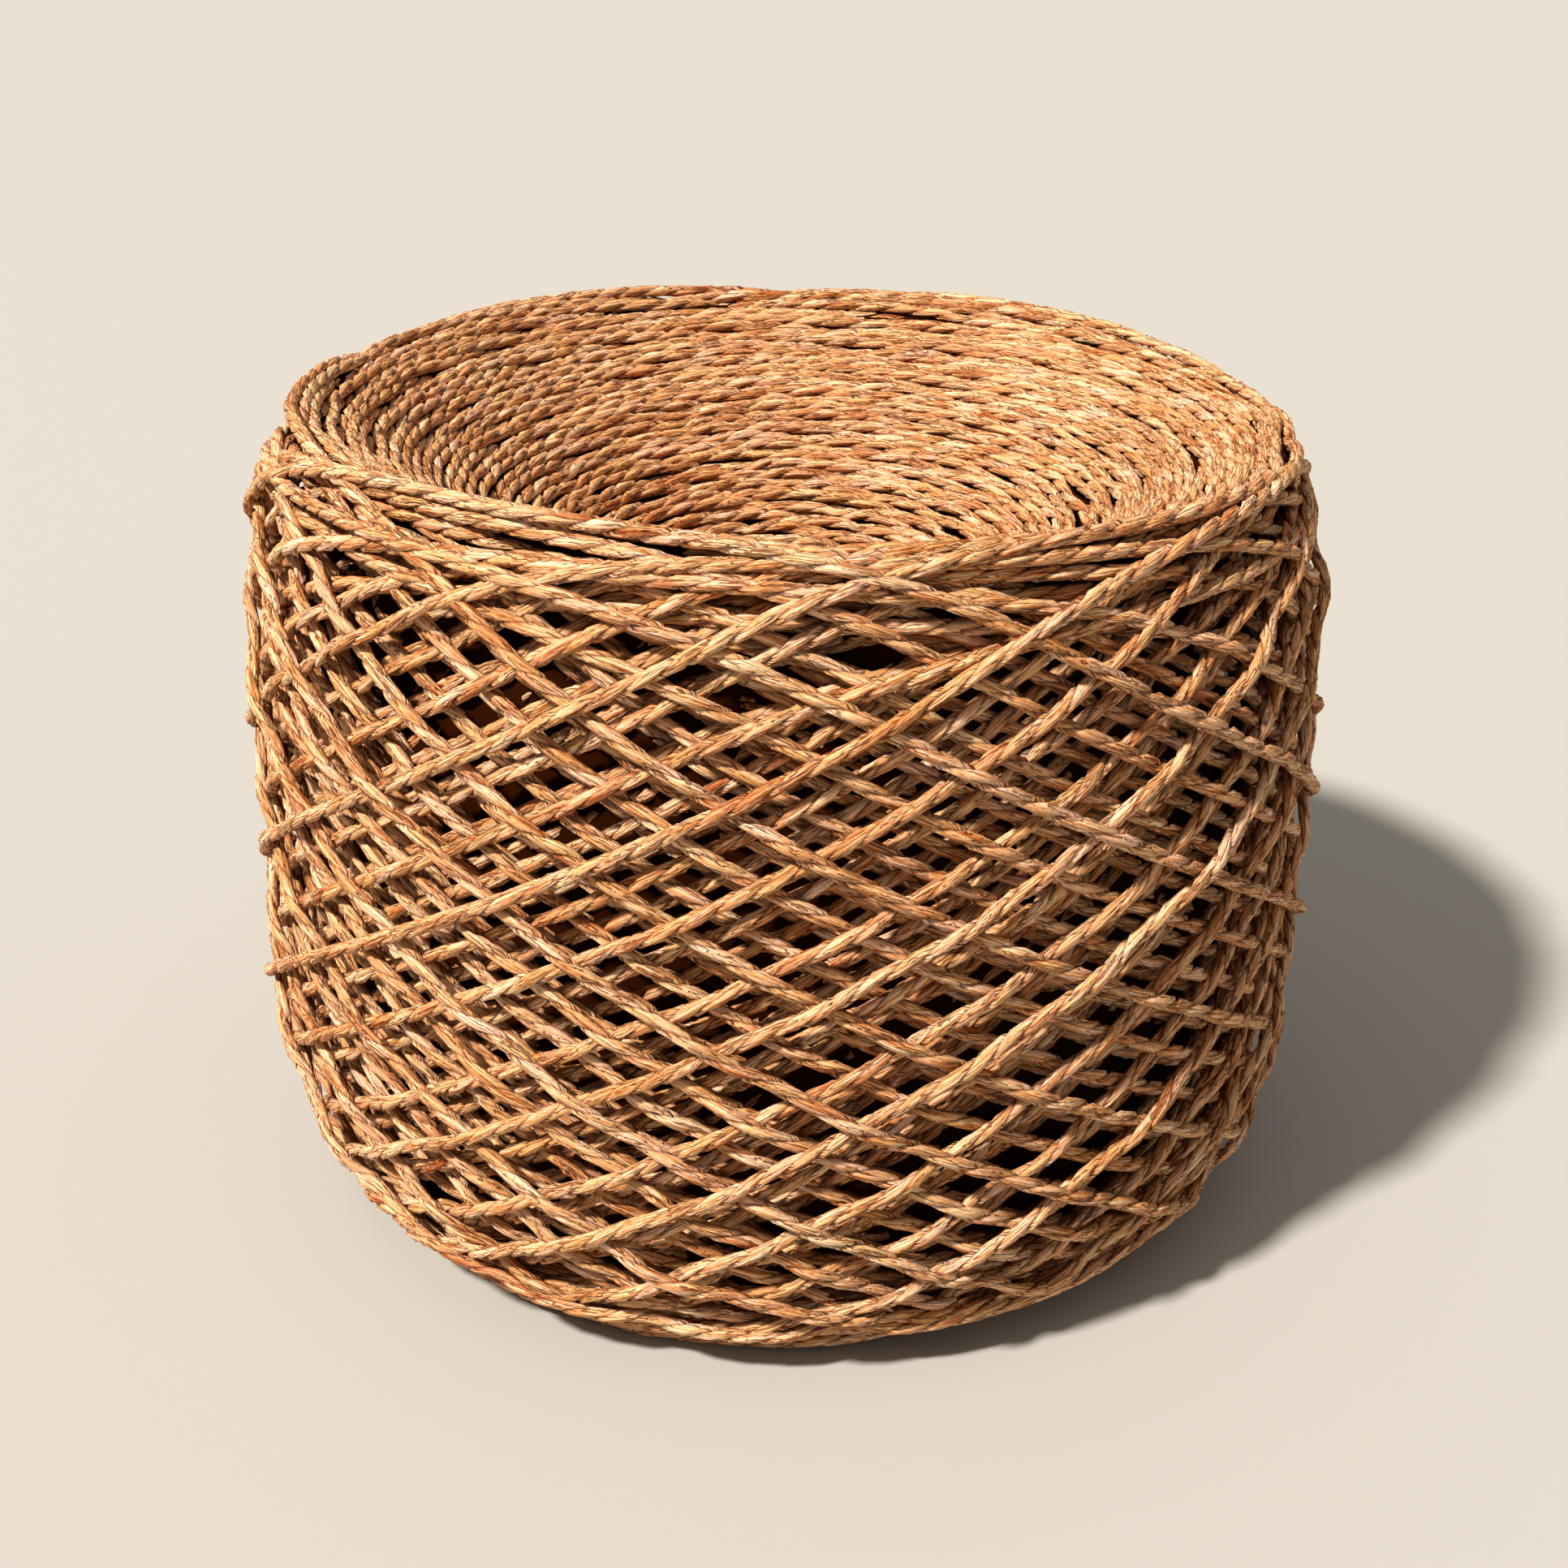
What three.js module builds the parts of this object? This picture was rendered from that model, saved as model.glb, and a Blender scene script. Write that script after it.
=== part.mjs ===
// Ball of two-ply paper raffia yarn, cross wound round a hollow centre and standing on its lower rim.
// Millimetres, +Z up, -Y is the front.
// The origin is on the surface that the ball stands on, under its middle.

import * as THREE from "three";
import { mergeVertices } from "three/addons/utils/BufferGeometryUtils.js";

// Driving sizes of the wound form
const BALL_RADIUS = 68;
const RIM_HEIGHT = 102;
const RIM_RADIUS = 60.9;
const FOOT_RADIUS = 56;
const FOOT_WIDTH = 7;
const CORE_RADIUS = 13;
const FUNNEL_SLOPE = Math.tan(THREE.MathUtils.degToRad(30));
const LIP_WIDTH = 3.4;
const LIP_CONTROL_RISE = 2.5;

// Outside of the winding from the foot up to the rim: height, and radius as a share of the ball's
const SIDE = [
  { height: 0, share: FOOT_RADIUS / BALL_RADIUS },
  { height: 3, share: 0.876 },
  { height: 7, share: 0.926 },
  { height: 13, share: 0.967 },
  { height: 22, share: 0.994 },
  { height: 38, share: 1 },
  { height: 64, share: 1 },
  { height: 82, share: 0.982 },
  { height: 93, share: 0.951 },
  { height: 99, share: 0.921 },
];

// Unevenness of the rim's height round the ball: turns is how often it rises in one round
const RIM_WAVES = [
  { turns: 1, cosine: -0.6, sine: -2.0 },
  { turns: 2, cosine: 0.6, sine: -0.45 },
];
const LEAN = 1.3;

// The lattice of the main turns: each crossing is two columns from the next
const COLUMNS = 72;
const SIDE_ROWS = 41;
const LIP_ROWS = 4;
const SIDE_SLOWING = 0.5;
const RIM_TURN_DEPTH = 1.9;
const MIDDLE_TURN_DEPTH = 3.6;
const SHALLOW_TURN = 0.35;
const TURN_SPREAD = 2.4;
const FALLING_PHASE = 1;
const CROSSING_DIP = 0.6;

// Rings of turns that show in the hollow ends
const FUNNEL_ROWS = 16;
const CORE_ROWS = 3;
const LOWER_FUNNEL_ROWS = 8;
const RING_DEPTH = 0.9;
const RING_DIP = 0.7;
const RING_WAVES = 3;
const RING_DRIFT = 1.7;

const RELIEF = { none: 0, crossing: 1, ring: 2 };
const MERGE_DISTANCE = 1e-4;

const material = new THREE.MeshStandardMaterial({
  color: new THREE.Color(0.6, 0.36, 0.16),
  roughness: 0.7,
  metalness: 0,
  flatShading: true,
});

// Points of the outside, closer together near both rims, where the turns flatten out and lie shallower
function sideRows() {
  const outline = new THREE.SplineCurve(
    SIDE.map((row) => new THREE.Vector2(row.share * BALL_RADIUS, row.height)),
  );
  const rows = [];
  for (let k = 0; k <= SIDE_ROWS; k++) {
    const u = k / SIDE_ROWS;
    const along = u - (SIDE_SLOWING * Math.sin(2 * Math.PI * u)) / (2 * Math.PI);
    const depth = THREE.MathUtils.lerp(RIM_TURN_DEPTH, MIDDLE_TURN_DEPTH, Math.sin(Math.PI * u));
    const relief = k === 0 ? RELIEF.none : RELIEF.crossing;
    rows.push({ point: outline.getPointAt(along), relief, depth });
  }
  return rows;
}

// The rounded lip between the outside and the upper funnel, whose second row is the rim's crest
function lipRows() {
  const last = SIDE[SIDE.length - 1];
  const start = new THREE.Vector2(last.share * BALL_RADIUS, last.height);
  const end = new THREE.Vector2(RIM_RADIUS - LIP_WIDTH, RIM_HEIGHT - LIP_WIDTH * FUNNEL_SLOPE);
  const control = new THREE.Vector2(RIM_RADIUS, RIM_HEIGHT + LIP_CONTROL_RISE);
  const lip = new THREE.QuadraticBezierCurve(start, control, end);
  const rows = [];
  for (let k = 1; k <= LIP_ROWS; k++) {
    rows.push({ point: lip.getPoint(k / LIP_ROWS), relief: RELIEF.ring });
  }
  return rows;
}

// A straight run of rows from one point to another, without its first point
function runRows(from, to, count, relief) {
  const rows = [];
  for (let k = 1; k <= count; k++) {
    rows.push({ point: from.clone().lerp(to, k / count), relief });
  }
  return rows;
}

// The whole outline, up the outside, over the lip, down through the hollow and back to the foot
function outlineRows() {
  const rows = [...sideRows(), ...lipRows()];
  const lipEnd = rows[rows.length - 1].point;
  const coreTop = new THREE.Vector2(CORE_RADIUS, lipEnd.y - (lipEnd.x - CORE_RADIUS) * FUNNEL_SLOPE);
  const footInner = new THREE.Vector2(FOOT_RADIUS - FOOT_WIDTH, 0);
  const coreBottom = new THREE.Vector2(CORE_RADIUS, (footInner.x - CORE_RADIUS) * FUNNEL_SLOPE);
  rows.push(...runRows(lipEnd, coreTop, FUNNEL_ROWS, RELIEF.ring));
  rows.push(...runRows(coreTop, coreBottom, CORE_ROWS, RELIEF.none));
  rows.push(...runRows(coreBottom, footInner, LOWER_FUNNEL_ROWS, RELIEF.ring));
  rows[rows.length - 1].relief = RELIEF.none;
  rows.push({ point: rows[0].point.clone(), relief: RELIEF.none });
  return rows;
}

// A smooth wave between 0 and 1
function wave(phase) {
  return (1 + Math.sin(phase)) / 2;
}

// How far one of the crossing turns stands out, from the shallowest to 1, uneven from turn to turn
function proudness(turn, phase) {
  return SHALLOW_TURN + (1 - SHALLOW_TURN) * wave(turn * TURN_SPREAD + phase);
}

// Depth of the surface below the outline at a column and row
function reliefDepth(rows, column, rowNumber) {
  const { relief, depth } = rows[rowNumber];
  const turns = COLUMNS / 2;
  if (relief === RELIEF.crossing) {
    if ((column + rowNumber) % 2 !== 0) return depth;
    const rising = THREE.MathUtils.euclideanModulo((column - rowNumber) / 2, turns);
    const falling = THREE.MathUtils.euclideanModulo((column + rowNumber) / 2, turns);
    const stands = Math.max(proudness(rising, 0), proudness(falling, FALLING_PHASE));
    return depth * (1 - stands) * CROSSING_DIP;
  }
  if (relief === RELIEF.ring) {
    if (rowNumber % 2 === 0) return RING_DEPTH;
    const angle = (2 * Math.PI * column) / COLUMNS;
    return RING_DEPTH * RING_DIP * wave(RING_WAVES * angle + rowNumber * RING_DRIFT);
  }
  return 0;
}

// Rise of the rim above its mean height at an angle from the front
function rimRise(angle) {
  let rise = 0;
  for (const { turns, cosine, sine } of RIM_WAVES) {
    rise += cosine * Math.cos(turns * angle) + sine * Math.sin(turns * angle);
  }
  return rise;
}

// The outline's own normal at a row, which points out of the yarn
function outwardNormal(rows, rowNumber) {
  const last = rows.length - 1;
  const before = rows[rowNumber === 0 ? last - 1 : rowNumber - 1].point;
  const after = rows[rowNumber === last ? 1 : rowNumber + 1].point;
  const along = after.clone().sub(before).normalize();
  return new THREE.Vector2(along.y, -along.x);
}

// The lathed outline with the turns, the uneven rim and the lean worked into its points
function woundGeometry() {
  const rows = outlineRows();
  const geometry = new THREE.LatheGeometry(rows.map((row) => row.point), COLUMNS);
  const position = geometry.getAttribute("position");
  for (let i = 0; i <= COLUMNS; i++) {
    const column = i % COLUMNS;
    const angle = (2 * Math.PI * column) / COLUMNS;
    for (let j = 0; j < rows.length; j++) {
      const point = rows[j].point.clone();
      point.addScaledVector(outwardNormal(rows, j), -reliefDepth(rows, column, j));
      const height = point.y / RIM_HEIGHT;
      const outwards = Math.min(1, point.x / RIM_RADIUS);
      const x = point.x * Math.sin(angle) + LEAN * (height - 0.5);
      const y = -point.x * Math.cos(angle);
      const z = point.y + rimRise(angle) * height * outwards;
      position.setXYZ(i * rows.length + j, x, y, z);
    }
  }
  geometry.setIndex(latticeFaces(rows.length));
  geometry.deleteAttribute("uv");
  geometry.deleteAttribute("normal");
  return geometry;
}

// Two faces for each cell, parted along the turn that crosses it
function latticeFaces(rowCount) {
  const faces = [];
  for (let i = 0; i < COLUMNS; i++) {
    for (let j = 0; j < rowCount - 1; j++) {
      const a = i * rowCount + j;
      const b = a + rowCount;
      const c = b + 1;
      const d = a + 1;
      if ((i + j) % 2 === 0) faces.push(a, b, c, a, c, d);
      else faces.push(a, b, d, b, c, d);
    }
  }
  return faces;
}

// Moves the form so that the middle of its footprint is at the origin
function centreFootprint(geometry) {
  geometry.computeBoundingBox();
  const middle = geometry.boundingBox.getCenter(new THREE.Vector3());
  geometry.translate(-middle.x, -middle.y, 0);
  return geometry;
}

function yarnBall() {
  const geometry = centreFootprint(mergeVertices(woundGeometry(), MERGE_DISTANCE));
  geometry.computeVertexNormals();
  const mesh = new THREE.Mesh(geometry, material);
  mesh.name = "wound_yarn";
  return mesh;
}

const ball = new THREE.Group();
ball.add(yarnBall());

export default ball;
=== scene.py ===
import math

import bpy
import numpy as np
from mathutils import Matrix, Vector


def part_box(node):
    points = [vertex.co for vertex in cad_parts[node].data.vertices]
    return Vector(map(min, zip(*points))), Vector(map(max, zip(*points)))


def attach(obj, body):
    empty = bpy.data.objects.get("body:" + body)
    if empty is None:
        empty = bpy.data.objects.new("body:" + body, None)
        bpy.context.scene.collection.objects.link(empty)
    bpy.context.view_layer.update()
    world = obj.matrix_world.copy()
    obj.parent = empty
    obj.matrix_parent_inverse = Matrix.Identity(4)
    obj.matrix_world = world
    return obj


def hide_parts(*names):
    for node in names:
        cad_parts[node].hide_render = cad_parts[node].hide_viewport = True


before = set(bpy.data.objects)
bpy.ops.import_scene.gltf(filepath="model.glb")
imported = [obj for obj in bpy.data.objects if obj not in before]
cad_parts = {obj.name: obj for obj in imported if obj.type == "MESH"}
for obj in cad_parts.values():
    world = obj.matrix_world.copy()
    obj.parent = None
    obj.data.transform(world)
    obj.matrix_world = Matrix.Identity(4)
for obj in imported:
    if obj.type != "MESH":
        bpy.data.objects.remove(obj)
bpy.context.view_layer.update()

# One long strand of two-ply paper yarn is wound here, turn after turn, from the hollow centre outwards.
# Each turn is laid on what is already there, and only what can be seen becomes meshes.
# Lengths are millimetres and angles are degrees until a mesh is made.
MM = 0.001
NODE = "wound_yarn"
low_corner, high_corner = (np.array(corner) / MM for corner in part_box(NODE))

# Yarn
YARN_WIDTH = 1.72
YARN_THICKNESS = 0.9
CONTACT_HEIGHT = 0.7
TWIST_PITCH = 8.8
PLY_ROUNDNESS = 0.9
GROOVE = 0.42
FIBRE_LIE = 0.85

# Unevenness along the yarn, as sums of smooth noises: size, and length of one wave
TWIST_DRIFT = [(1.6, 60), (0.7, 13)]
WIDTH_DRIFT = [(0.06, 25), (0.05, 6)]
GROOVE_DRIFT = [(0.22, 9)]
RIDGE_DRIFT = [(0.08, 4)]

# Wound form, from the CAD solid's box, whose top lies above the rim's mean height
TOP_ABOVE_RIM = 1.5
BALL_RADIUS = (high_corner[0] - low_corner[0]) / 2
RIM_HEIGHT = high_corner[2] - TOP_ABOVE_RIM
OUTER_LAYER = BALL_RADIUS - YARN_WIDTH / 2
RIM_SHARE = 0.894
FOOT_SHARE = 0.8235
FUNNEL_SLOPE = math.tan(math.radians(30))
RIM_Z = RIM_HEIGHT - YARN_WIDTH / 2
FOOT_Z = YARN_WIDTH / 2
CORE_LAYER = 15.0
LEAN = 1.3

# Outside from the foot to the rim: share of the height, and of the widest radius
SIDE = [
    (0.00, FOOT_SHARE),
    (0.03, 0.876),
    (0.07, 0.926),
    (0.13, 0.967),
    (0.22, 0.994),
    (0.38, 1.000),
    (0.64, 1.000),
    (0.81, 0.982),
    (0.91, 0.951),
    (0.97, 0.921),
    (1.00, RIM_SHARE),
]
SIDE_SAMPLES = 400

# Unevenness of the rim's height: rises in one round, cosine part, sine part, from the front
RIM_WAVES = [(1, -0.6, -2.0), (2, 0.6, -0.45)]

# Winding: each half turn takes the yarn from one rim to the other, where it bends back, at an angle that
# spreads the turns evenly
SEED = 5
HALF_TURN = 228.34
AZIMUTH_SCATTER = 0.5
SHORTEST_BEND = 50.0
LONGEST_BEND = 70.0
BEND_POWER = 3.0
BEND_TRIES = 12
END_PITCH = 1.2
END_ZONE = 0.015
END_MARGIN = 0.001
CUT_SHORT = SHORTEST_BEND * (1 - 1 / BEND_POWER)
BEYOND = CUT_SHORT / (HALF_TURN - 2 * CUT_SHORT)
STEP = 0.45
GROWTH = 0.044
GROWTH_FADE = 0.5
LAST_TOP_AZIMUTH = 70.5
MOST_HALF_TURNS = 3000
LAYER_EVENING = 2
END_TUCK = 4.0
END_TUCK_SAMPLES = 40

# Height map of what is already wound, over azimuth and share of the way up
MAP_COLUMNS = 720
MAP_ROWS = 230
NOTHING_BELOW = -1e9
TOUCH_OFFSETS = (0.9, -0.9, 0.7, -0.7, 0.5, -0.5, 0.3, -0.3, 0.1, -0.1)
PROBE = np.arange(-38, 39, 2.0)
PROBE_OFFSETS = (-0.7, 0.0, 0.7)
END_PROBE = np.arange(-22, 23, 2.0)
SAG_RADIUS = 10.0
SAG_REACH = 9.0
STIFF_REACH = 1.5
LOOSENESS = 1.2
RIM_LOOSENESS = 0.8
RIM_ZONE = 0.15
EVENING_REACH = 16
OUTERMOST_SHARE = 92


def smooth_through(points, steps=40):
    """Points along a smooth curve through the given ones."""
    points = np.asarray(points, float)
    padded = np.vstack([2 * points[0] - points[1], points, 2 * points[-1] - points[-2]])
    t = np.linspace(0, 1, steps, endpoint=False)[:, None]
    stretches = []
    for a, b, c, d in zip(padded, padded[1:], padded[2:], padded[3:]):
        stretches.append(
            b + (c - a) * t / 2 + (a - 2.5 * b + 2 * c - d / 2) * t**2 + (1.5 * (b - c) + (d - a) / 2) * t**3
        )
    return np.vstack(stretches + [points[-1:]])


def side_profile():
    """Height share and radius share at even steps along the outside, and its length."""
    size = np.array([RIM_Z - FOOT_Z, OUTER_LAYER])
    curve = smooth_through(np.array(SIDE) * size)
    along = np.r_[0, np.cumsum(np.linalg.norm(np.diff(curve, axis=0), axis=1))]
    even = np.linspace(0, along[-1], SIDE_SAMPLES)
    shares = [np.interp(even, along, curve[:, i]) / size[i] for i in range(2)]
    return shares[0], shares[1], along[-1]


HEIGHT_SHARES, RADIUS_SHARES, SIDE_LENGTH = side_profile()
UP_SHARES = np.linspace(0, 1, SIDE_SAMPLES)


def layer_point(up, layer):
    """Radius and height at a share of the way up a layer, which ends in a funnel at each end."""
    radius = layer * np.interp(up, UP_SHARES, RADIUS_SHARES)
    inwards = OUTER_LAYER - layer
    low = FOOT_Z + inwards * FOOT_SHARE * FUNNEL_SLOPE
    high = RIM_Z - inwards * RIM_SHARE * FUNNEL_SLOPE
    return radius, low + (high - low) * np.interp(up, UP_SHARES, HEIGHT_SHARES)


def rim_rise(azimuth):
    """Rise of the rim above its mean height at an angle from the front."""
    turn = np.radians(azimuth)
    return sum(c * np.cos(n * turn) + s * np.sin(n * turn) for n, c, s in RIM_WAVES)


def ball_point(azimuth, up, layer):
    """Place in the ball of points given by azimuth from the front, share of the way up, and layer."""
    radius, height = layer_point(up, layer)
    share = height / RIM_HEIGHT
    outwards = np.minimum(1, radius / (BALL_RADIUS * RIM_SHARE))
    turn = np.radians(azimuth)
    x = radius * np.sin(turn) + LEAN * (share - 0.5)
    y = -radius * np.cos(turn)
    return np.stack([x, y, height + rim_rise(azimuth) * share * outwards], -1)


def smoothed(values, reach):
    """Running mean over a number of samples to each side."""
    kernel = np.full(2 * reach + 1, 1 / (2 * reach + 1))
    return np.convolve(np.pad(values, reach, mode="edge"), kernel, mode="valid")


def bent(distance, bend):
    """Distance from a corner, rounded off within the bend's reach, most at its ends."""
    rounded = bend * (1 + ((distance / bend) ** BEND_POWER - 1) / BEND_POWER)
    return np.where(distance < bend, rounded, distance)


def map_cells(azimuth, up):
    """Cells of the height map that hold the given places."""
    column = np.round(azimuth * MAP_COLUMNS / 360).astype(int) % MAP_COLUMNS
    row = np.round(np.asarray(up) * (MAP_ROWS - 1)).astype(int).clip(0, MAP_ROWS - 1)
    return column, row


def easiest_bend(rng, wound, latest, azimuth, slope, rising, level):
    """The bend at the coming rim: out to its very end if no turn lies there yet, or else, of a few tries,
    the one that finds the lowest ground."""
    if level - latest[map_cells(azimuth + END_PROBE, 0)[0]].mean() > END_PITCH:
        return SHORTEST_BEND
    scale = SIDE_LENGTH * level / OUTER_LAYER
    best, lowest = None, math.inf
    for share in rng.random(BEND_TRIES):
        bend = SHORTEST_BEND + (LONGEST_BEND - SHORTEST_BEND) * share
        up = 1 + BEYOND - slope * bent(np.abs(PROBE), bend)
        up = up if rising else 1 - up
        ground = 0
        for offset in PROBE_OFFSETS:
            ground += wound[map_cells(azimuth + PROBE, up + offset / scale)].mean()
        if ground < lowest:
            best, lowest = bend, ground
    return best


def draped(support, step):
    """Height of a taut but soft yarn over its supports: it sags a little between them."""
    reach = int(SAG_REACH / step)
    padded = np.pad(support, reach, constant_values=NOTHING_BELOW)
    height = support.copy()
    for shift in range(1, reach + 1):
        sag = (shift * step) ** 2 / (2 * SAG_RADIUS)
        for start in (reach - shift, reach + shift):
            height = np.maximum(height, padded[start:start + len(support)] - sag)
    return smoothed(height, max(1, int(STIFF_REACH / step)))


def lay(wound, azimuth, up, level):
    """Lays one half turn on the height map and gives its layer at each sample."""
    scale = SIDE_LENGTH * level / OUTER_LAYER
    radius = level * np.interp(up, UP_SHARES, RADIUS_SHARES)
    along = np.radians(STEP) * radius
    rise = np.gradient(up) * scale
    step = np.hypot(along, rise)
    touches = []
    support = np.full(len(azimuth), NOTHING_BELOW)
    for offset in TOUCH_OFFSETS:
        touching = azimuth - np.degrees(offset * rise / step / radius)
        cells = map_cells(touching, up + offset * along / step / scale)
        bulge = CONTACT_HEIGHT * math.sqrt(1 - offset**2)
        touches.append((cells, bulge))
        support = np.maximum(support, wound[cells] + bulge)
    height = draped(support, step.mean())
    zone = np.minimum(1, np.minimum(up, 1 - up) / RIM_ZONE)
    loose = RIM_LOOSENESS + (LOOSENESS - RIM_LOOSENESS) * zone
    height = level + loose * np.tanh((height - level) / loose)
    for cells, bulge in touches:
        wound[cells] = np.maximum(wound[cells], height + bulge)
    return height


def evened(wound, up, layer):
    """Layers moved in or out so that the outermost turns follow the outline at every height."""
    outermost = smoothed(np.percentile(wound, OUTERMOST_SHARE, axis=0), EVENING_REACH)
    shift = OUTER_LAYER + CONTACT_HEIGHT - outermost
    wound += shift
    return layer + np.interp(up, np.linspace(0, 1, MAP_ROWS), shift)


def half_turn(start, end, slope, bend, next_bend, rising):
    """Azimuth and share of the way up along one half turn, bent at both its ends."""
    azimuth = np.arange(start, end, STEP)
    first = slope * bent(azimuth - start, bend) - BEYOND
    second = 1 + BEYOND - slope * bent(end - azimuth, next_bend)
    up = np.where(azimuth < (start + end) / 2, first, second)
    up = up if rising else 1 - up
    return azimuth, up.clip(END_MARGIN, 1 - END_MARGIN)


def wind():
    """Azimuth, share of the way up and layer of every sample along the yarn, and the height map."""
    rng = np.random.default_rng(SEED)
    turns = np.arange(MOST_HALF_TURNS) * HALF_TURN + rng.normal(0, AZIMUTH_SCATTER, MOST_HALF_TURNS)
    wound = np.full((MAP_COLUMNS, MAP_ROWS), CORE_LAYER)
    latest_at_ends = np.full((2, MAP_COLUMNS), CORE_LAYER)
    parts = []
    level = CORE_LAYER
    bend = SHORTEST_BEND
    rising = True
    number = 0
    while level < OUTER_LAYER - CONTACT_HEIGHT or not rising:
        start, end = turns[number], turns[number + 1]
        slope = (1 + 2 * BEYOND) / (end - start)
        next_bend = easiest_bend(rng, wound, latest_at_ends[int(rising)], end, slope, rising, level)
        azimuth, up = half_turn(start, end, slope, bend, next_bend, rising)
        parts.append((azimuth, up, lay(wound, azimuth, up, level)))
        for latest, reached in zip(latest_at_ends, (up < END_ZONE, up > 1 - END_ZONE)):
            latest[map_cells(azimuth[reached], 0)[0]] = level
        level += GROWTH * (OUTER_LAYER / level) ** GROWTH_FADE
        bend = next_bend
        rising = not rising
        number += 1
    azimuth, up, layer = (np.concatenate(values) for values in zip(*parts))
    layer = smoothed(layer, LAYER_EVENING)
    layer[-END_TUCK_SAMPLES:] -= np.linspace(0, 1, END_TUCK_SAMPLES) ** 2 * END_TUCK
    turned = LAST_TOP_AZIMUTH - turns[number - 1]
    wound = np.roll(wound, round(turned * MAP_COLUMNS / 360), axis=0)
    print("half turns", number)
    return azimuth + turned, up, evened(wound, up, layer), wound


# Levels of detail, from the outermost turns to the deepest that show: angles of the section's points from
# its long axis in each quarter, step along the yarn, and how deep the level reaches
LEVELS = [
    {"name": "outer", "angles": (60, 0), "step": 1.06, "depth": 1.7},
    {"name": "second", "angles": (60, 0), "step": 1.55, "depth": 3.8},
    {"name": "third", "angles": (30,), "step": 2.0, "depth": 5.6},
    {"name": "deep", "angles": (0,), "step": 2.4, "depth": 7.9},
]
MOST_POINTS = 8
KEEP_LEVEL_FOR = 6
HIDDEN = 99.0
LONGEST_RUN = 4000
MOST_QUADS = 50_000

# Square map of a piece's colours, on which its tubes lie one after another in long rows
MAP_NAME = "OFBake"
ROW_HEIGHT = 6.4
ROW_MARGIN = 0.08
ROW_SHARE = 0.98

# Winding that lies deeper than any turn that shows: a solid body, which reaches nearer to the surface
# at the rims, where the turns are close
# The body's near-black colour is painted shade: it stands for shadowed turns deep in the gaps, which are the
# same paper as the rest
BODY_DEPTH = 6.7
BODY_RIM_DEPTH = 1.1
BODY_RIM_ZONE = 0.09
BODY_RIM_INSET = 0.007
BODY_CORE_INSET = 0.045
BODY_CORE_MARGIN = 2.0
BODY_END_DEPTH = 3.5
BODY_COLUMNS = 160
BODY_ROWS = 64
BODY_RELIEF = 0.6
INSIDE_BODY = 1.0


def body_depth(up):
    """Depth of the solid body below the outside at a share of the way up."""
    inwards = np.minimum(1, np.minimum(up, 1 - up) / BODY_RIM_ZONE)
    return BODY_RIM_DEPTH + (BODY_DEPTH - BODY_RIM_DEPTH) * np.sqrt(inwards)


def visible_depth(azimuth, up, layer, wound):
    """Depth of each sample below what covers it, more where it only shows from below or from inside."""
    radius, height = layer_point(up, layer)
    slant = math.cos(math.atan(FUNNEL_SLOPE))
    side = OUTER_LAYER - layer
    top = (RIM_Z - (OUTER_LAYER * RIM_SHARE - radius) * FUNNEL_SLOPE - height) * slant
    bottom = (height - FOOT_Z - (OUTER_LAYER * FOOT_SHARE - radius) * FUNNEL_SLOPE) * slant
    hole = layer - CORE_LAYER
    below_turns = wound[map_cells(azimuth, up)] - layer - CONTACT_HEIGHT
    in_body = np.minimum(side - body_depth(up), np.minimum(top, bottom) - BODY_END_DEPTH) > INSIDE_BODY
    depth = np.minimum(np.where(in_body, HIDDEN, np.minimum(below_turns, top)), HIDDEN)
    depth = np.minimum(depth, bottom + LEVELS[1]["depth"])
    return np.maximum(np.minimum(depth, hole + LEVELS[2]["depth"]), 0)


def depth_levels(depth):
    """Level of detail of each sample, kept for a while along the yarn."""
    shallowest = depth.copy()
    for shift in range(1, KEEP_LEVEL_FOR + 1):
        shallowest[shift:] = np.minimum(shallowest[shift:], depth[:-shift])
        shallowest[:-shift] = np.minimum(shallowest[:-shift], depth[shift:])
    return np.searchsorted([detail["depth"] for detail in LEVELS], shallowest)


def yarn_frame(azimuth, up, layer):
    """Centres, sideways and outward directions of samples along the yarn, and the length so far."""
    centre = ball_point(azimuth, up, layer)
    outer = ball_point(azimuth, up, layer + 1)
    tangent = np.gradient(centre, axis=0)
    tangent /= np.linalg.norm(tangent, axis=1)[:, None]
    side = np.cross(tangent, outer - centre)
    side /= np.linalg.norm(side, axis=1)[:, None]
    outward = np.cross(side, tangent)
    along = np.r_[0, np.cumsum(np.linalg.norm(np.diff(centre, axis=0), axis=1))]
    return centre, side, outward, along


def section(angles):
    """Outline of two plies side by side in half widths, its angles, and the points where the plies meet."""
    quarter = np.array(angles, float)
    right = np.r_[90, quarter, -quarter[quarter > 0][::-1], -90]
    left = 180 - right[1:-1][::-1]
    turn = np.radians(np.r_[right, left])
    across = np.sign(np.cos(turn)) * np.abs(np.cos(turn).round(6)) ** PLY_ROUNDNESS
    out = np.sign(np.sin(turn)) * np.abs(np.sin(turn)) ** PLY_ROUNDNESS
    return across, out, turn, np.abs(np.cos(turn)) < 1e-6


def runs_of(level, wanted):
    """First and last sample of each stretch of the yarn at one level, none of them too long."""
    at = np.r_[False, level == wanted, False]
    edges = np.flatnonzero(at[1:] != at[:-1])
    runs = []
    for first, last in zip(edges[::2], edges[1::2]):
        last = min(last, len(level) - 1)
        cuts = np.linspace(first, last, (last - first) // LONGEST_RUN + 2).astype(int)
        runs += list(zip(cuts[:-1], cuts[1:]))
    return [(first, last) for first, last in runs if last > first]


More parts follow.
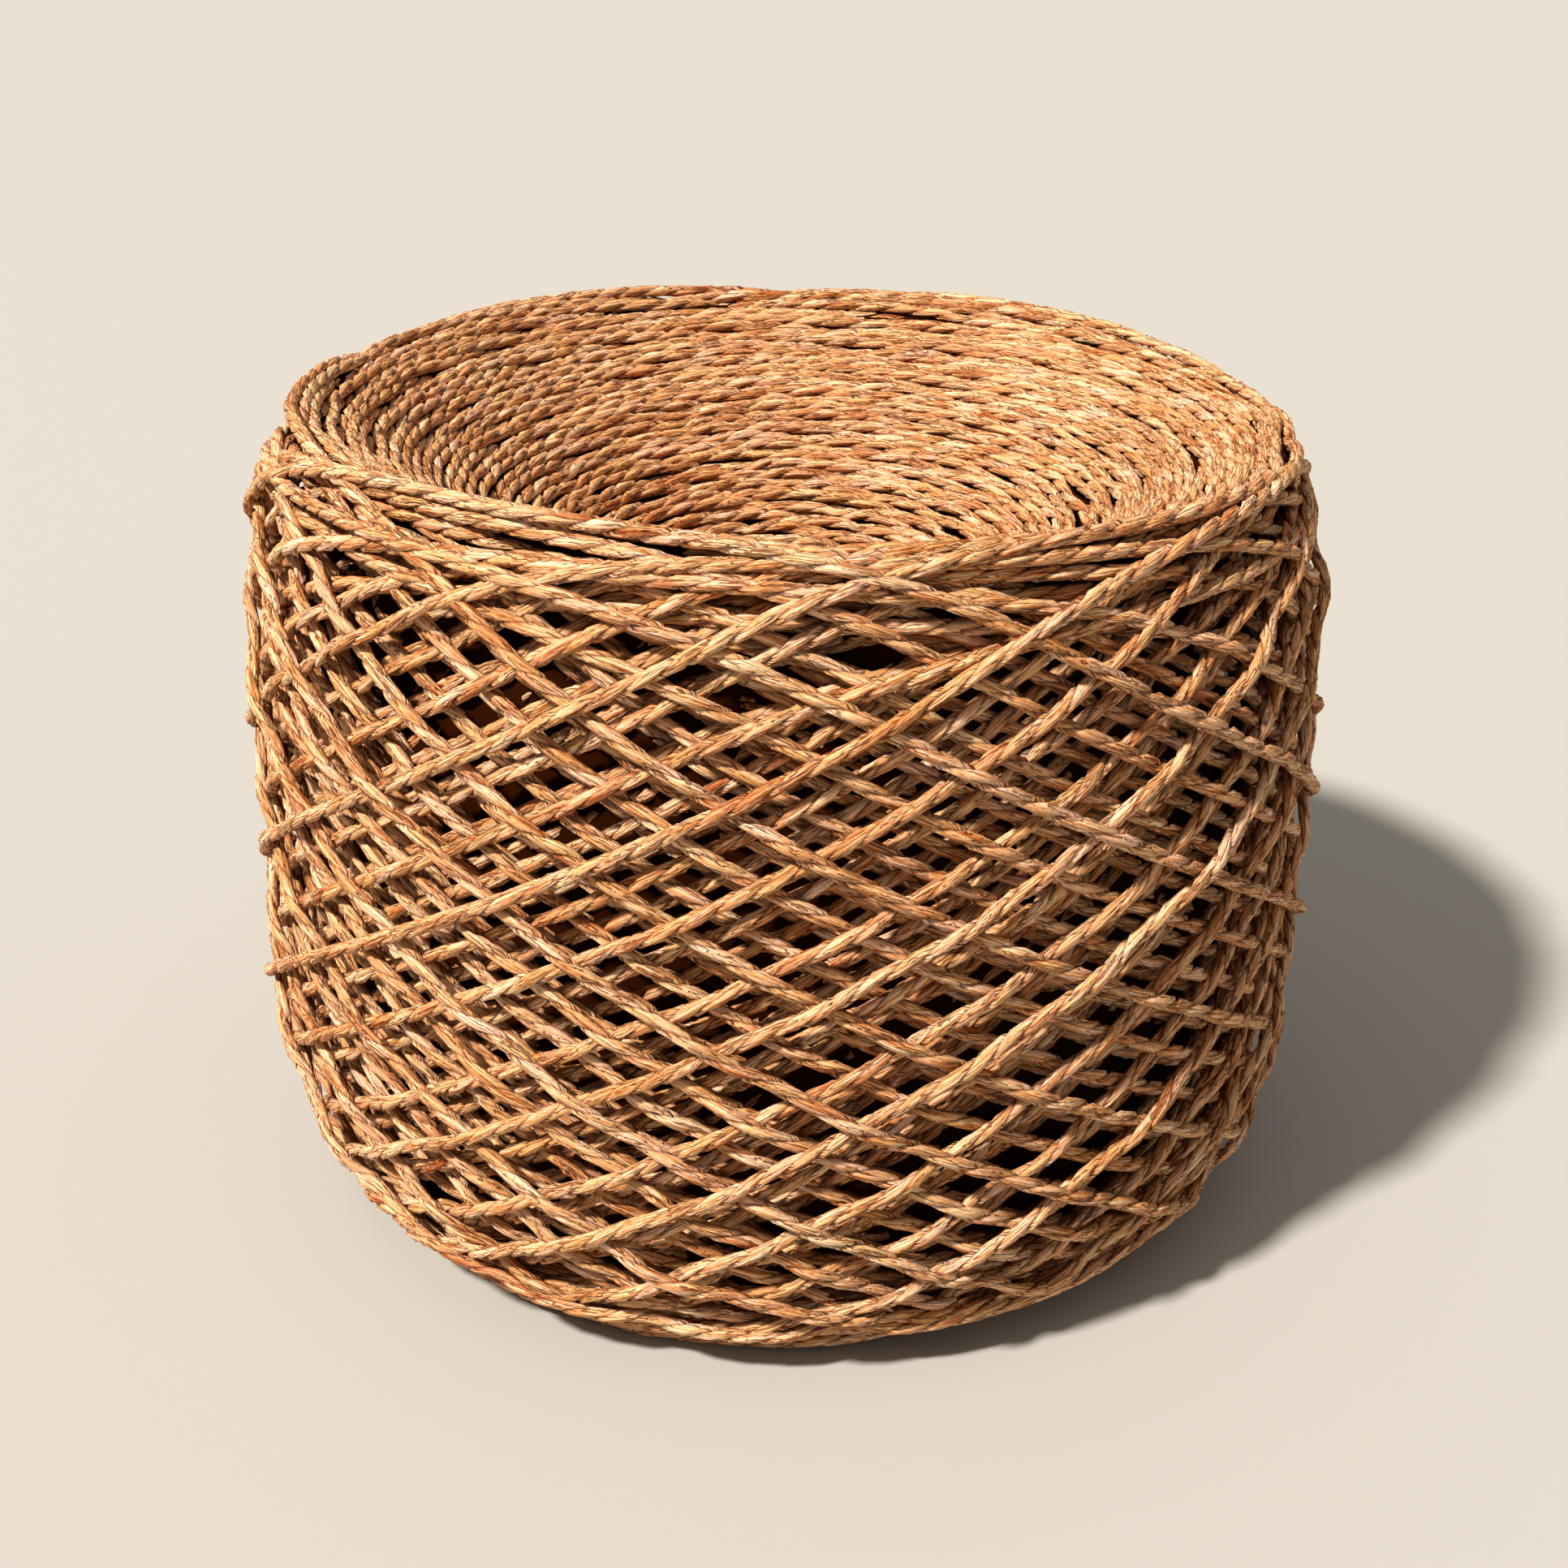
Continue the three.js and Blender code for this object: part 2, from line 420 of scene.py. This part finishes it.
def drift(rng, waves, length, columns=1):
    """A function of the length along the yarn that gives a sum of smooth noises in some columns."""
    knots = [rng.uniform(-1, 1, (int(length / wave) + 3, columns)) for _, wave in waves]

    def value(at):
        total = 0
        for (size, wave), knot in zip(waves, knots):
            left = (at / wave).astype(int)
            part = (at / wave - left)[:, None]
            part = part * part * (3 - 2 * part)
            total = total + size * (knot[left] * (1 - part) + knot[left + 1] * part)
        return total

    return value


def unevenness(length):
    """The yarn's drifts, by what they change."""
    rng = np.random.default_rng(SEED + 1)
    return {
        "twist": drift(rng, TWIST_DRIFT, length),
        "width": drift(rng, WIDTH_DRIFT, length),
        "groove": drift(rng, GROOVE_DRIFT, length),
        "ridge": drift(rng, RIDGE_DRIFT, length, MOST_POINTS),
    }


def run_mesh(path, uneven, detail, first, last):
    """Rings of vertices, where they lie in the fibres, and how far across the plies, for one stretch."""
    centre, side, outward, along = path
    flat, tall, around, meets = section(detail["angles"])
    count = max(2, int((along[last] - along[first]) / detail["step"]) + 1)
    at = np.linspace(along[first], along[last], count)
    window = slice(first, last + 1)

    def pick(values):
        return np.stack([np.interp(at, along[window], values[window, i]) for i in range(3)], -1)[:, None]

    turn = at[:, None] * 2 * np.pi / TWIST_PITCH + uneven["twist"](at)
    tall = tall * np.where(meets, GROOVE + uneven["groove"](at), 1)
    size = YARN_WIDTH / 2 * (1 + uneven["width"](at) + uneven["ridge"](at)[:, :len(flat)])
    across = (flat * np.cos(turn) - tall * np.sin(turn)) * size
    out = (flat * np.sin(turn) + tall * np.cos(turn)) * size * YARN_THICKNESS
    ring = pick(centre) + across[..., None] * pick(side) + out[..., None] * pick(outward)
    # the fibres lie nearly along the yarn, because each ply is twisted the other way
    lie = around + FIBRE_LIE * turn
    fibre = np.empty(ring.shape)
    fibre[..., 0] = np.cos(lie) * YARN_WIDTH / 2
    fibre[..., 1] = np.sin(lie) * YARN_WIDTH / 2
    fibre[..., 2] = at[:, None]
    return ring, fibre, np.broadcast_to(flat, ring.shape[:2])


def tube_faces(count, points, start):
    """Quads of a tube of count rings, and its two end caps."""
    ring = np.arange(points)
    after = (ring + 1) % points
    row = start + np.arange(count - 1)[:, None] * points
    quads = np.stack([row + ring, row + ring + points, row + after + points, row + after], -1).reshape(-1, 4)
    caps = [start + ring, start + (count - 1) * points + ring[::-1]]
    return quads, caps


def row_map(parts):
    """Place of each face corner on the square map."""
    length = sum(fibre[-1, 0, 2] - fibre[0, 0, 2] for _, fibre, _ in parts)
    row_length = math.sqrt(length * ROW_HEIGHT)
    rows = int(length / row_length) + 1
    places = []
    start = 0
    for _, fibre, _ in parts:
        points = fibre.shape[1]
        at = (start + fibre[:, 0, 2] - fibre[0, 0, 2]) / row_length
        row = np.floor(at[:-1])[:, None]
        lines = np.linspace(ROW_MARGIN, 1 - ROW_MARGIN, points + 1)
        left, right = ((value[:, None] - row) * ROW_SHARE for value in (at[:-1], at[1:]))
        low, high = ((row + line) / rows for line in (lines[:-1], lines[1:]))
        corners = [(left, low), (right, low), (right, high), (left, high)]
        quads = np.stack([np.stack(np.broadcast_arrays(u, v), -1) for u, v in corners], 2).reshape(-1, 2)
        places += [quads, np.repeat(quads[[0, -2]], points, axis=0)]
        start += fibre[-1, 0, 2] - fibre[0, 0, 2]
    return np.vstack(places)


def make_object(name, vertices, faces, material, attributes):
    mesh = bpy.data.meshes.new(name)
    mesh.from_pydata((vertices * MM).tolist(), [], faces)
    for key, kind, values in attributes:
        layer = mesh.attributes.new(key, kind, "POINT")
        field = "vector" if kind == "FLOAT_VECTOR" else "value"
        layer.data.foreach_set(field, values.astype(np.float32).ravel())
    mesh.materials.append(material)
    mesh.shade_smooth()
    made = bpy.data.objects.new(name, mesh)
    bpy.context.scene.collection.objects.link(made)
    return made


def make_piece(name, parts, material):
    vertices, fibres, acrosses, faces = [], [], [], []
    start = 0
    for ring, fibre, across in parts:
        quads, caps = tube_faces(ring.shape[0], ring.shape[1], start)
        faces += quads.tolist() + [cap.tolist() for cap in caps]
        vertices.append(ring.reshape(-1, 3))
        fibres.append(fibre.reshape(-1, 3))
        acrosses.append(across.ravel())
        start += ring.shape[0] * ring.shape[1]
    attributes = [
        ("fibre", "FLOAT_VECTOR", np.vstack(fibres)),
        ("across", "FLOAT", np.concatenate(acrosses)),
    ]
    made = make_object(name, np.vstack(vertices), faces, material, attributes)
    made.data.uv_layers.new(name=MAP_NAME).data.foreach_set("uv", row_map(parts).ravel())
    return made


def yarn_pieces(material):
    """All the turns that show, as closed tubes joined into pieces by level of detail."""
    azimuth, up, layer, wound = wind()
    path = yarn_frame(azimuth, up, layer)
    uneven = unevenness(path[3][-1])
    level = depth_levels(visible_depth(azimuth, up, layer, wound))
    made = []
    for number, detail in enumerate(LEVELS):
        parts, quads, total = [], 0, 0
        runs = runs_of(level, number)
        for index, (first, last) in enumerate(runs):
            parts.append(run_mesh(path, uneven, detail, first, last))
            quads += parts[-1][0].shape[0] * parts[-1][0].shape[1]
            if quads > MOST_QUADS or index == len(runs) - 1:
                made.append(make_piece(f"{detail['name']}_turns_{total + 1}", parts, material))
                parts, quads, total = [], 0, total + 1
    return made


# Materials
DARK_PAPER = (0.34, 0.09, 0.016)
MIDDLE_PAPER = (0.65, 0.35, 0.168)
PALE_PAPER = (0.83, 0.6, 0.45)
PINK_TINT = (1.0, 0.94, 0.93)
STRAW_TINT = (1.0, 1.0, 0.85)
# painted shade: the dark red-brown that the paper is darkened towards in its creases and in the groove
# between the plies
PAINTED_SHADE_COLOUR = (0.15, 0.028, 0.005)
# painted shade: near-black colour of the solid inner body, standing for the shadowed deep winding
DEEP_WINDING_SHADE = (0.032, 0.009, 0.002)
PAPER_STOPS = [(0.38, DARK_PAPER), (0.49, MIDDLE_PAPER), (0.6, PALE_PAPER)]
TINT_STOPS = [(0.4, PINK_TINT), (0.6, STRAW_TINT)]
# Painted shade: how strongly, and how far out from the groove between the plies, the colour is darkened
PAINTED_GROOVE_SHADE = 0.6
GROOVE_SHADE_REACH = 0.4
# Painted shade in the paper's crease lines: its strength and width, which also set how deep the creases dent
# the bump
PAINTED_CREASE_SHADE_AND_DENT = 0.7
CREASE_CORE = 0.002
CREASE_REACH = 0.03
PAPER_ROUGHNESS = 0.6
PAPER_SHEEN = 0.25
DEEP_ROUGHNESS = 0.9
BUMP_HEIGHT = 0.00035

# Noises of the paper: scale around and along the yarn, detail, roughness
FIBRE_NOISE = ((5.0, 5.0, 0.22), 2.0, 0.6)
STRIP_NOISE = ((1.9, 1.9, 0.13), 2.0, 0.5)
CREASE_NOISE = ((1.9, 1.9, 0.12), 1.5, 0.5)

# Noises that change from ply to ply: scale across, unused and along, detail, roughness
TONE_NOISE = ((2.3, 1.0, 0.03), 2.0, 0.5)
TINT_NOISE = ((3.1, 2.0, 0.05), 2.0, 0.5)

# How much each noise counts in the colour, and the strips in the bump
FIBRE_SHARE = 0.42
STRIP_SHARE = 0.3
TONE_SHARE = 0.28
STRIP_BUMP = 0.6


class Tree:
    """A material's nodes, made and linked in short lines."""

    def __init__(self, name):
        self.material = bpy.data.materials.new(name)
        self.material.use_nodes = True
        self.tree = self.material.node_tree
        self.tree.nodes.clear()

    def node(self, kind, links=(), **values):
        made = self.tree.nodes.new(kind)
        for key, value in values.items():
            if key in made.bl_rna.properties:
                setattr(made, key, value)
            else:
                made.inputs[key.replace("_", " ")].default_value = value
        for source, socket in links:
            self.tree.links.new(source, made.inputs[socket])
        return made

    def noise(self, vector, scale, detail, roughness):
        placed = self.node("ShaderNodeMapping", [(vector, "Vector")], Scale=scale)
        noise = self.node(
            "ShaderNodeTexNoise",
            [(placed.outputs[0], "Vector")],
            Scale=1.0,
            Detail=detail,
            Roughness=roughness,
        )
        return noise.outputs["Fac"]

    def math(self, operation, first, second):
        made = self.node("ShaderNodeMath", operation=operation)
        for index, value in enumerate((first, second)):
            if isinstance(value, (int, float)):
                made.inputs[index].default_value = value
            else:
                self.tree.links.new(value, made.inputs[index])
        return made.outputs[0]

    def step_up(self, value, low, high, to_low, to_high):
        made = self.node(
            "ShaderNodeMapRange",
            [(value, "Value")],
            interpolation_type="SMOOTHSTEP",
            From_Min=low,
            From_Max=high,
            To_Min=to_low,
            To_Max=to_high,
        )
        return made.outputs[0]

    def ramp(self, value, stops):
        made = self.node("ShaderNodeValToRGB", [(value, 0)])
        elements = made.color_ramp.elements
        for element, (position, color) in zip([elements[0], elements[1]], [stops[0], stops[-1]]):
            element.position = position
            element.color = (*color, 1)
        for position, color in stops[1:-1]:
            elements.new(position).color = (*color, 1)
        return made.outputs[0]

    def mix(self, blend, share, first, second):
        made = self.node("ShaderNodeMix", data_type="RGBA", blend_type=blend)
        for index, value in ((0, share), (6, first), (7, second)):
            if isinstance(value, (float, tuple)):
                made.inputs[index].default_value = value
            else:
                self.tree.links.new(value, made.inputs[index])
        return made.outputs[2]


def yarn_material():
    tree = Tree("paper_yarn")
    fibre = tree.node("ShaderNodeAttribute", attribute_name="fibre").outputs["Vector"]
    across = tree.node("ShaderNodeAttribute", attribute_name="across").outputs["Fac"]
    side = tree.node("ShaderNodeMath", [(across, 0)], operation="SIGN").outputs[0]
    length = tree.node("ShaderNodeSeparateXYZ", [(fibre, 0)]).outputs[2]
    ply = tree.node("ShaderNodeCombineXYZ", [(side, 0), (length, 2)]).outputs[0]

    fibres = tree.noise(fibre, *FIBRE_NOISE)
    strips = tree.noise(fibre, *STRIP_NOISE)
    creases = tree.noise(fibre, *CREASE_NOISE)
    tone = tree.noise(ply, *TONE_NOISE)
    tint = tree.noise(ply, *TINT_NOISE)

    fibre_part = tree.math("MULTIPLY", fibres, FIBRE_SHARE)
    share = tree.math("ADD", fibre_part, tree.math("MULTIPLY", strips, STRIP_SHARE))
    share = tree.math("ADD", share, tree.math("MULTIPLY", tone, TONE_SHARE))
    paper = tree.ramp(share, PAPER_STOPS)
    tinted = tree.mix("MULTIPLY", 1.0, paper, tree.ramp(tint, TINT_STOPS))

    # painted shade in the crease lines; the same mask also dents the bump
    ridge = tree.math("ABSOLUTE", tree.math("SUBTRACT", creases, 0.5), 0.0)
    crease_shade_and_dent = tree.step_up(ridge, CREASE_CORE, CREASE_REACH, PAINTED_CREASE_SHADE_AND_DENT, 0.0)
    # painted shade along the groove where the two plies meet
    groove = tree.math("ABSOLUTE", across, 0.0)
    groove = tree.step_up(groove, 0.0, GROOVE_SHADE_REACH, PAINTED_GROOVE_SHADE, 0.0)
    # painted shade: the paper colour is mixed towards the dark shade colour at the creases and along the
    # groove between the plies
    colour = tree.mix("MIX", tree.math("MAXIMUM", crease_shade_and_dent, groove), tinted, (*PAINTED_SHADE_COLOUR, 1))

    height = tree.math("ADD", fibres, tree.math("MULTIPLY", strips, STRIP_BUMP))
    height = tree.math("SUBTRACT", height, crease_shade_and_dent)
    bump = tree.node("ShaderNodeBump", [(height, "Height")], Distance=BUMP_HEIGHT, Strength=1.0)
    shader = tree.node(
        "ShaderNodeBsdfPrincipled",
        [(colour, "Base Color"), (bump.outputs[0], "Normal")],
        Roughness=PAPER_ROUGHNESS,
        Specular_IOR_Level=PAPER_SHEEN,
    )
    tree.node("ShaderNodeOutputMaterial", [(shader.outputs[0], 0)])
    return tree.material


def plain_material(name, color, roughness, sheen=0.5):
    tree = Tree(name)
    shader = tree.node(
        "ShaderNodeBsdfPrincipled", Base_Color=(*color, 1), Roughness=roughness, Specular_IOR_Level=sheen
    )
    tree.node("ShaderNodeOutputMaterial", [(shader.outputs[0], 0)])
    return tree.material


def body_outline():
    """Share of the way up and layer of each row, up the outside and back down the hole's wall."""
    rise = BODY_RIM_INSET + np.linspace(0, 1, BODY_ROWS // 2) * (1 - 2 * BODY_RIM_INSET)
    outside = [(up, OUTER_LAYER - body_depth(up)) for up in rise]
    inwards = np.linspace(0, 1, BODY_ROWS // 4)
    layers = outside[-1][1] + inwards * (CORE_LAYER + BODY_CORE_MARGIN - outside[-1][1])
    insets = BODY_RIM_INSET + inwards * (BODY_CORE_INSET - BODY_RIM_INSET)
    top = list(zip(1 - insets, layers))
    bottom = list(zip(insets[::-1], layers[::-1]))
    wall = [(up, layers[-1]) for up in np.linspace(1 - insets[-1], insets[-1], BODY_ROWS // 6)]
    return np.array(outside + top[1:] + wall[1:] + bottom[1:-1])


def inner_body(material):
    rows = body_outline()
    azimuth = np.arange(BODY_COLUMNS) * 360 / BODY_COLUMNS
    column, row = np.meshgrid(np.arange(BODY_COLUMNS), np.arange(len(rows)), indexing="ij")
    relief = BODY_RELIEF * np.where((column // 2 + row) % 2 == 0, 1, -1)
    up = np.broadcast_to(rows[:, 0], column.shape)
    layer = rows[:, 1] + relief
    place = ball_point(azimuth[column], up, layer).reshape(-1, 3)
    count = len(rows)
    a = column * count + row
    b = (column + 1) % BODY_COLUMNS * count + row
    c = (column + 1) % BODY_COLUMNS * count + (row + 1) % count
    d = column * count + (row + 1) % count
    faces = np.stack([a, b, c, d], -1).reshape(-1, 4).tolist()
    return make_object("inner_winding", place, faces, material, [])


# Scene round the object
CAMERA_PLACE = (0, -261.7, 164.8)
CAMERA_PITCH = 24.0
PHOTO_SIDE = 1932
FOCAL_PIXELS = 2664
SENSOR_WIDTH = 36
FLOOR_SIZE = 40.0
FLOOR_COLOR = (0.4, 0.385, 0.36)
FLOOR_ROUGHNESS = 0.8
LIGHT_FROM = (-0.58, -0.53, 0.92)
LIGHT_COLOR = (1, 0.95, 0.88)
SUN_STRENGTH = 5.3
SUN_SPREAD = 5
SKY_STRENGTH = 0.45


def camera():
    data = bpy.data.cameras.new("camera")
    data.sensor_width = SENSOR_WIDTH
    data.lens = data.sensor_width * FOCAL_PIXELS / PHOTO_SIDE
    made = bpy.data.objects.new("camera", data)
    made.location = Vector(CAMERA_PLACE) * MM
    made.rotation_euler = (math.radians(90 - CAMERA_PITCH), 0, 0)
    bpy.context.scene.collection.objects.link(made)
    bpy.context.scene.camera = made


def key_light():
    data = bpy.data.lights.new("key", "SUN")
    data.energy = SUN_STRENGTH
    data.angle = math.radians(SUN_SPREAD)
    data.color = LIGHT_COLOR
    made = bpy.data.objects.new("key", data)
    made.rotation_euler = (-Vector(LIGHT_FROM)).to_track_quat("-Z", "Y").to_euler()
    bpy.context.scene.collection.objects.link(made)


def sky():
    world = bpy.data.worlds.new("studio")
    world.use_nodes = True
    background = world.node_tree.nodes["Background"]
    background.inputs["Color"].default_value = (*LIGHT_COLOR, 1)
    background.inputs["Strength"].default_value = SKY_STRENGTH
    bpy.context.scene.world = world


def studio():
    half = FLOOR_SIZE / 2
    corners = [(-half, -half, 0), (half, -half, 0), (half, half, 0), (-half, half, 0)]
    mesh = bpy.data.meshes.new("floor")
    mesh.from_pydata(corners, [], [(0, 1, 2, 3)])
    mesh.materials.append(plain_material("floor", FLOOR_COLOR, FLOOR_ROUGHNESS))
    floor = bpy.data.objects.new("floor", mesh)
    bpy.context.scene.collection.objects.link(floor)
    key_light()
    sky()
    bpy.context.scene.view_settings.view_transform = "Standard"
    bpy.context.scene.view_settings.look = "Medium High Contrast"


camera()
studio()
paper = yarn_material()
# the inner body gets a near-black material as painted shade for the deep, shadowed winding
dark = plain_material("deep_winding_painted_shade", DEEP_WINDING_SHADE, DEEP_ROUGHNESS, 0.0)
total = 0
for piece in [inner_body(dark)] + yarn_pieces(paper):
    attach(piece, "root")
    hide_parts(NODE)
    triangles = sum(len(face.vertices) - 2 for face in piece.data.polygons)
    total += triangles
    print(piece.name, triangles)
print("triangles", total)
